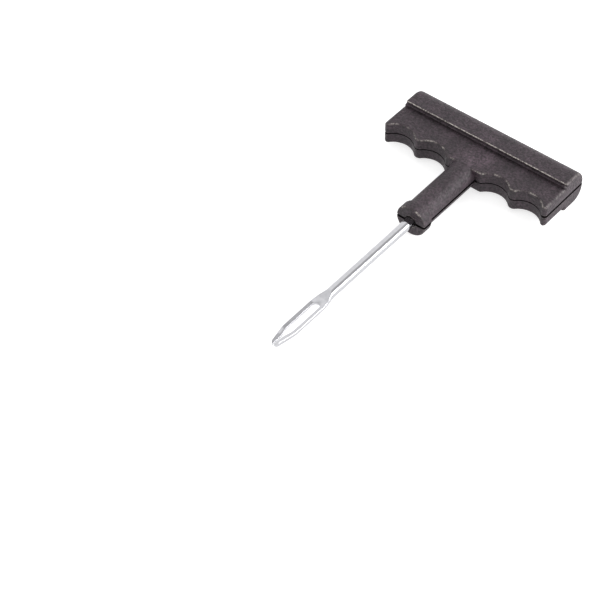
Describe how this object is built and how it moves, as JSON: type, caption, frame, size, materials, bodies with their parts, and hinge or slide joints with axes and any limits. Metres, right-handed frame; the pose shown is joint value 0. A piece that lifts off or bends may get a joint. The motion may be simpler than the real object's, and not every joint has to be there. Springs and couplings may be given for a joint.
{
  "type": "tyre plug insertion tool",
  "caption": "Hand T-handle tool with a plated split-eye needle that carries a rubber plug strip through a tyre puncture and lets it go through the slit at its tip.",
  "frame": {"origin": "on the shank's axis, in the plane of the collar's end face where the shank leaves the handle", "axes": "X along the handle; the shank points along -Y and the palm edge faces +Y; +Z square to the parting plane, out of the upper shell"},
  "size_m": [0.08, 0.1445, 0.0148],
  "materials": {
    "handle_plastic": "charcoal-black moulded plastic with a fine texture",
    "plated_steel": "bright zinc-nickel plated steel, smooth",
    "pin_steel": "plain drawn steel",
    "screw_steel": "bright zinc plated screw"
  },
  "bodies": {
    "handle_and_shank": {"upper_shell": "handle_plastic", "lower_shell": "handle_plastic", "needle": "plated_steel", "cross_pin": "pin_steel", "screw_1": "screw_steel", "screw_2": "screw_steel", "screw_3": "screw_steel", "screw_4": "screw_steel"},
    "left_tine": {"left_tine": "plated_steel"},
    "right_tine": {"right_tine": "plated_steel"}
  },
  "joints": [
    {"name": "left_tine_spread", "type": "hinge", "parent": "handle_and_shank", "child": "left_tine", "pos_m": [-0.00235, -0.06122, 0], "axis": [0, 0, -1], "range_deg": [0, 2], "stiffness_Nm_per_rad": 17},
    {"name": "right_tine_spread", "type": "hinge", "parent": "handle_and_shank", "child": "right_tine", "pos_m": [0.00235, -0.06122, 0], "axis": [0, 0, 1], "range_deg": [0, 2], "stiffness_Nm_per_rad": 17}
  ]
}
